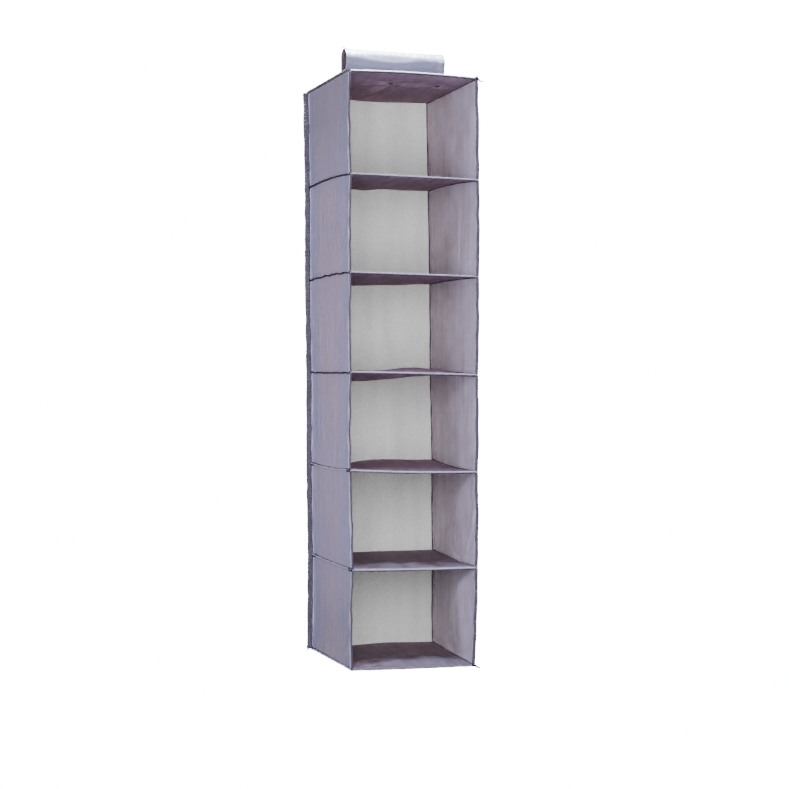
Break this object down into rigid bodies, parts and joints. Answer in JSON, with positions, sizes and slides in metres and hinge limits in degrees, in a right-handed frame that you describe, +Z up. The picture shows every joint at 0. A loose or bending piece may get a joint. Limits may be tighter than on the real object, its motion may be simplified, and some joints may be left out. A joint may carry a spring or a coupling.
{
  "type": "hanging shoe organizer",
  "caption": "Hanging fabric closet organizer: open-fronted stacked tiers with covered board shelves under a wide hook-and-loop strap that wraps a closet rod.",
  "frame": {"origin": "centre of the closet rod that the strap wraps, at the middle of the strap's width", "axes": "+Z up, +X to the right along the rod seen from the open front, -Y towards the open front"},
  "size_m": [0.312, 0.291, 1.3558],
  "materials": {
    "wall_cloth": "soft satin woven oxford cloth, grey lilac",
    "shelf_cloth": "woven oxford cloth over board, darker grey lilac",
    "back_mesh": "fine open weave, light warm grey",
    "binding_tape": "ribbed binding tape, grey blue",
    "strap_cloth": "soft satin woven oxford cloth, pale",
    "stiffener_board": "plain grey-brown board",
    "hook_tape": "stiff hook tape",
    "loop_tape": "brushed loop tape"
  },
  "bodies": {
    "top": {"top_panel_sleeve": "shelf_cloth", "top_panel_board": "stiffener_board", "top_panel_trims": "binding_tape", "tier_1_left_wall": "wall_cloth", "tier_1_right_wall": "wall_cloth", "tier_1_back": "back_mesh", "tier_1_front_bindings": "binding_tape", "tier_1_back_bindings": "binding_tape", "strap_loop": "strap_cloth", "strap_stub": "strap_cloth", "strap_loop_tape": "loop_tape"},
    "shelf_1": {"shelf_1_sleeve": "shelf_cloth", "shelf_1_board": "stiffener_board", "shelf_1_trims": "binding_tape", "tier_2_left_wall": "wall_cloth", "tier_2_right_wall": "wall_cloth", "tier_2_back": "back_mesh", "tier_2_front_bindings": "binding_tape", "tier_2_back_bindings": "binding_tape"},
    "shelf_2": {"shelf_2_sleeve": "shelf_cloth", "shelf_2_board": "stiffener_board", "shelf_2_trims": "binding_tape", "tier_3_left_wall": "wall_cloth", "tier_3_right_wall": "wall_cloth", "tier_3_back": "back_mesh", "tier_3_front_bindings": "binding_tape", "tier_3_back_bindings": "binding_tape"},
    "shelf_3": {"shelf_3_sleeve": "shelf_cloth", "shelf_3_board": "stiffener_board", "shelf_3_trims": "binding_tape", "tier_4_left_wall": "wall_cloth", "tier_4_right_wall": "wall_cloth", "tier_4_back": "back_mesh", "tier_4_front_bindings": "binding_tape", "tier_4_back_bindings": "binding_tape"},
    "shelf_4": {"shelf_4_sleeve": "shelf_cloth", "shelf_4_board": "stiffener_board", "shelf_4_trims": "binding_tape", "tier_5_left_wall": "wall_cloth", "tier_5_right_wall": "wall_cloth", "tier_5_back": "back_mesh", "tier_5_front_bindings": "binding_tape", "tier_5_back_bindings": "binding_tape"},
    "shelf_5": {"shelf_5_sleeve": "shelf_cloth", "shelf_5_board": "stiffener_board", "shelf_5_trims": "binding_tape", "tier_6_left_wall": "wall_cloth", "tier_6_right_wall": "wall_cloth", "tier_6_back": "back_mesh", "tier_6_front_bindings": "binding_tape", "tier_6_back_bindings": "binding_tape"},
    "bottom": {"bottom_panel_sleeve": "shelf_cloth", "bottom_panel_board": "stiffener_board", "bottom_panel_trims": "binding_tape"},
    "flap": {"strap_flap": "strap_cloth", "strap_hook_tape": "hook_tape"}
  },
  "joints": [
    {"name": "tier_1_fold", "type": "slide", "parent": "top", "child": "shelf_1", "axis": [0, 0, 1], "range_m": [0, 0.196], "deforming": ["tier_1_left_wall", "tier_1_right_wall", "tier_1_back", "tier_1_front_bindings", "tier_1_back_bindings"]},
    {"name": "tier_2_fold", "type": "slide", "parent": "shelf_1", "child": "shelf_2", "axis": [0, 0, 1], "range_m": [0, 0.196], "deforming": ["tier_2_left_wall", "tier_2_right_wall", "tier_2_back", "tier_2_front_bindings", "tier_2_back_bindings"]},
    {"name": "tier_3_fold", "type": "slide", "parent": "shelf_2", "child": "shelf_3", "axis": [0, 0, 1], "range_m": [0, 0.196], "deforming": ["tier_3_left_wall", "tier_3_right_wall", "tier_3_back", "tier_3_front_bindings", "tier_3_back_bindings"]},
    {"name": "tier_4_fold", "type": "slide", "parent": "shelf_3", "child": "shelf_4", "axis": [0, 0, 1], "range_m": [0, 0.196], "deforming": ["tier_4_left_wall", "tier_4_right_wall", "tier_4_back", "tier_4_front_bindings", "tier_4_back_bindings"]},
    {"name": "tier_5_fold", "type": "slide", "parent": "shelf_4", "child": "shelf_5", "axis": [0, 0, 1], "range_m": [0, 0.196], "deforming": ["tier_5_left_wall", "tier_5_right_wall", "tier_5_back", "tier_5_front_bindings", "tier_5_back_bindings"]},
    {"name": "tier_6_fold", "type": "slide", "parent": "shelf_5", "child": "bottom", "axis": [0, 0, 1], "range_m": [0, 0.196], "deforming": ["tier_6_left_wall", "tier_6_right_wall", "tier_6_back", "tier_6_front_bindings", "tier_6_back_bindings"]},
    {"name": "flap_peel", "type": "hinge", "parent": "top", "child": "flap", "pos_m": [0, -0.0172, 0], "axis": [-1, 0, 0], "range_deg": [0, 160]}
  ]
}
